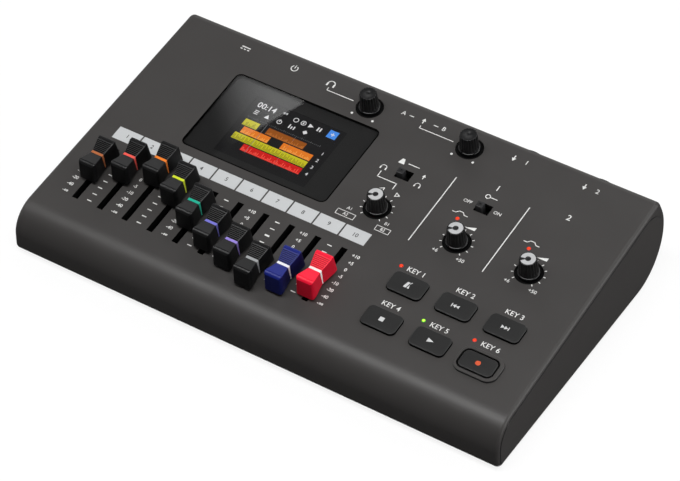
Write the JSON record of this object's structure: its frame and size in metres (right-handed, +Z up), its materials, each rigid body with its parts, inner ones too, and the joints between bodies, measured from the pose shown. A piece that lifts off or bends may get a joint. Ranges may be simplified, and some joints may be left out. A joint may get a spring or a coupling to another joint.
{
  "type": "digital multitrack recorder",
  "caption": "Desktop multitrack recorder with a sloped panel: sliding faders with coloured lines, fluted knobs, transport keys, a colour display and rear sockets.",
  "frame": {"origin": "on the floor under the middle of the case", "axes": "+X to the user's right, +Y to the rear, +Z up"},
  "size_m": [0.2596, 0.15, 0.0513],
  "materials": {
    "case_plastic": "fine moulded texture, dark warm grey",
    "base_plastic": "fine moulded texture, darker grey",
    "foot_rubber": "matt black rubber",
    "screw_steel": "blackened steel",
    "window": "smooth dark cover glass",
    "display": "dark colour display",
    "board": "green circuit board",
    "housing_steel": "plain stamped steel",
    "pot_metal": "plain die-cast metal",
    "switch_plastic": "dark moulded plastic",
    "lamp_red": "lit red lens",
    "lamp_green": "lit green lens",
    "socket_plastic": "black moulded plastic",
    "socket_metal": "bright plated steel",
    "cap_black": "satin black",
    "cap_blue": "satin blue",
    "cap_red": "satin red",
    "knob_black": "satin black",
    "shaft_metal": "turned metal",
    "key_plastic": "smooth satin dark grey"
  },
  "bodies": {
    "case": {"top_case": "case_plastic", "bottom_case": "base_plastic", "rubber_feet": "foot_rubber", "case_screws": "screw_steel", "screen_window": "window", "display_module": "display", "control_board": "board", "jack_board": "board", "fader_bodies": "housing_steel", "pot_bodies": "pot_metal", "tact_switches": "switch_plastic", "slide_switch_bodies": "housing_steel", "red_leds": "lamp_red", "green_led": "lamp_green", "line_jacks": "socket_plastic", "combo_jacks": "socket_plastic", "usb_socket": "socket_metal", "card_holder": "socket_metal", "battery_contacts": "socket_metal"},
    "fader_1": {"fader_cap_1": "cap_black", "fader_lever_1": "housing_steel"},
    "fader_2": {"fader_cap_2": "cap_black", "fader_lever_2": "housing_steel"},
    "fader_3": {"fader_cap_3": "cap_black", "fader_lever_3": "housing_steel"},
    "fader_4": {"fader_cap_4": "cap_black", "fader_lever_4": "housing_steel"},
    "fader_5": {"fader_cap_5": "cap_black", "fader_lever_5": "housing_steel"},
    "fader_6": {"fader_cap_6": "cap_black", "fader_lever_6": "housing_steel"},
    "fader_7": {"fader_cap_7": "cap_black", "fader_lever_7": "housing_steel"},
    "fader_8": {"fader_cap_8": "cap_black", "fader_lever_8": "housing_steel"},
    "fader_9": {"fader_cap_9": "cap_blue", "fader_lever_9": "housing_steel"},
    "fader_10": {"fader_cap_10": "cap_red", "fader_lever_10": "housing_steel"},
    "knob_phones": {"knob_phones": "knob_black", "shaft_phones": "shaft_metal"},
    "knob_output": {"knob_output": "knob_black", "shaft_output": "shaft_metal"},
    "knob_balance": {"knob_balance": "knob_black", "shaft_balance": "shaft_metal"},
    "knob_gain_1": {"knob_gain_1": "knob_black", "shaft_gain_1": "shaft_metal"},
    "knob_gain_2": {"knob_gain_2": "knob_black", "shaft_gain_2": "shaft_metal"},
    "button_click": {"button_click": "key_plastic"},
    "button_rew": {"button_rew": "key_plastic"},
    "button_ff": {"button_ff": "key_plastic"},
    "button_stop": {"button_stop": "key_plastic"},
    "button_play": {"button_play": "key_plastic"},
    "button_rec": {"button_rec": "key_plastic"},
    "switch_nub_click": {"switch_nub_click": "switch_plastic"},
    "switch_nub_hiz": {"switch_nub_hiz": "switch_plastic"},
    "power_slider": {"power_slider": "switch_plastic"},
    "battery_door": {"battery_door": "base_plastic"}
  },
  "joints": [
    {"name": "fader_1_slide", "type": "slide", "parent": "case", "child": "fader_1", "axis": [0, 0.9914, 0.1305], "range_m": [-0.0187, 0.0113]},
    {"name": "fader_2_slide", "type": "slide", "parent": "case", "child": "fader_2", "axis": [0, 0.9914, 0.1305], "range_m": [-0.0246, 0.0054]},
    {"name": "fader_3_slide", "type": "slide", "parent": "case", "child": "fader_3", "axis": [0, 0.9914, 0.1305], "range_m": [-0.0299, 0.0001]},
    {"name": "fader_4_slide", "type": "slide", "parent": "case", "child": "fader_4", "axis": [0, 0.9914, 0.1305], "range_m": [-0.0239, 0.0061]},
    {"name": "fader_5_slide", "type": "slide", "parent": "case", "child": "fader_5", "axis": [0, 0.9914, 0.1305], "range_m": [-0.0161, 0.0139]},
    {"name": "fader_6_slide", "type": "slide", "parent": "case", "child": "fader_6", "axis": [0, 0.9914, 0.1305], "range_m": [-0.0094, 0.0206]},
    {"name": "fader_7_slide", "type": "slide", "parent": "case", "child": "fader_7", "axis": [0, 0.9914, 0.1305], "range_m": [-0.005, 0.025]},
    {"name": "fader_8_slide", "type": "slide", "parent": "case", "child": "fader_8", "axis": [0, 0.9914, 0.1305], "range_m": [-0.0005, 0.0295]},
    {"name": "fader_9_slide", "type": "slide", "parent": "case", "child": "fader_9", "axis": [0, 0.9914, 0.1305], "range_m": [-0.0045, 0.0255]},
    {"name": "fader_10_slide", "type": "slide", "parent": "case", "child": "fader_10", "axis": [0, 0.9914, 0.1305], "range_m": [-0.0089, 0.0211]},
    {"name": "knob_phones_turn", "type": "hinge", "parent": "case", "child": "knob_phones", "pos_m": [-0.01805, 0.05619, 0.04518], "axis": [0, -0.1305, 0.9914], "range_deg": [-258, 22]},
    {"name": "knob_output_turn", "type": "hinge", "parent": "case", "child": "knob_output", "pos_m": [0.0361, 0.05619, 0.04518], "axis": [0, -0.1305, 0.9914], "range_deg": [-258, 22]},
    {"name": "knob_balance_turn", "type": "hinge", "parent": "case", "child": "knob_balance", "pos_m": [0.0175, 0.00616, 0.03859], "axis": [0, -0.1305, 0.9914], "range_deg": [-258, 22]},
    {"name": "knob_gain_1_turn", "type": "hinge", "parent": "case", "child": "knob_gain_1", "pos_m": [0.0595, 0.00616, 0.03859], "axis": [0, -0.1305, 0.9914], "range_deg": [-258, 22]},
    {"name": "knob_gain_2_turn", "type": "hinge", "parent": "case", "child": "knob_gain_2", "pos_m": [0.0965, 0.00616, 0.03859], "axis": [0, -0.1305, 0.9914], "range_deg": [-258, 22]},
    {"name": "button_click_press", "type": "slide", "parent": "case", "child": "button_click", "axis": [0, 0.1305, -0.9914], "range_m": [0, 0.0006], "stiffness_N_per_m": 1500, "springref_m": -0.0004},
    {"name": "button_rew_press", "type": "slide", "parent": "case", "child": "button_rew", "axis": [0, 0.1305, -0.9914], "range_m": [0, 0.0006], "stiffness_N_per_m": 1500, "springref_m": -0.0004},
    {"name": "button_ff_press", "type": "slide", "parent": "case", "child": "button_ff", "axis": [0, 0.1305, -0.9914], "range_m": [0, 0.0006], "stiffness_N_per_m": 1500, "springref_m": -0.0004},
    {"name": "button_stop_press", "type": "slide", "parent": "case", "child": "button_stop", "axis": [0, 0.1305, -0.9914], "range_m": [0, 0.0006], "stiffness_N_per_m": 1500, "springref_m": -0.0004},
    {"name": "button_play_press", "type": "slide", "parent": "case", "child": "button_play", "axis": [0, 0.1305, -0.9914], "range_m": [0, 0.0006], "stiffness_N_per_m": 1500, "springref_m": -0.0004},
    {"name": "button_rec_press", "type": "slide", "parent": "case", "child": "button_rec", "axis": [0, 0.1305, -0.9914], "range_m": [0, 0.0006], "stiffness_N_per_m": 1500, "springref_m": -0.0004},
    {"name": "switch_click_slide", "type": "slide", "parent": "case", "child": "switch_nub_click", "axis": [1, 0, 0], "range_m": [0, 0.003]},
    {"name": "switch_hiz_slide", "type": "slide", "parent": "case", "child": "switch_nub_hiz", "axis": [1, 0, 0], "range_m": [0, 0.003]},
    {"name": "power_slide", "type": "slide", "parent": "case", "child": "power_slider", "axis": [1, 0, 0], "range_m": [0, 0.004]},
    {"name": "battery_door_swing", "type": "hinge", "parent": "case", "child": "battery_door", "pos_m": [0, 0.0369, 0.002], "axis": [1, 0, 0], "range_deg": [0, 95]}
  ]
}
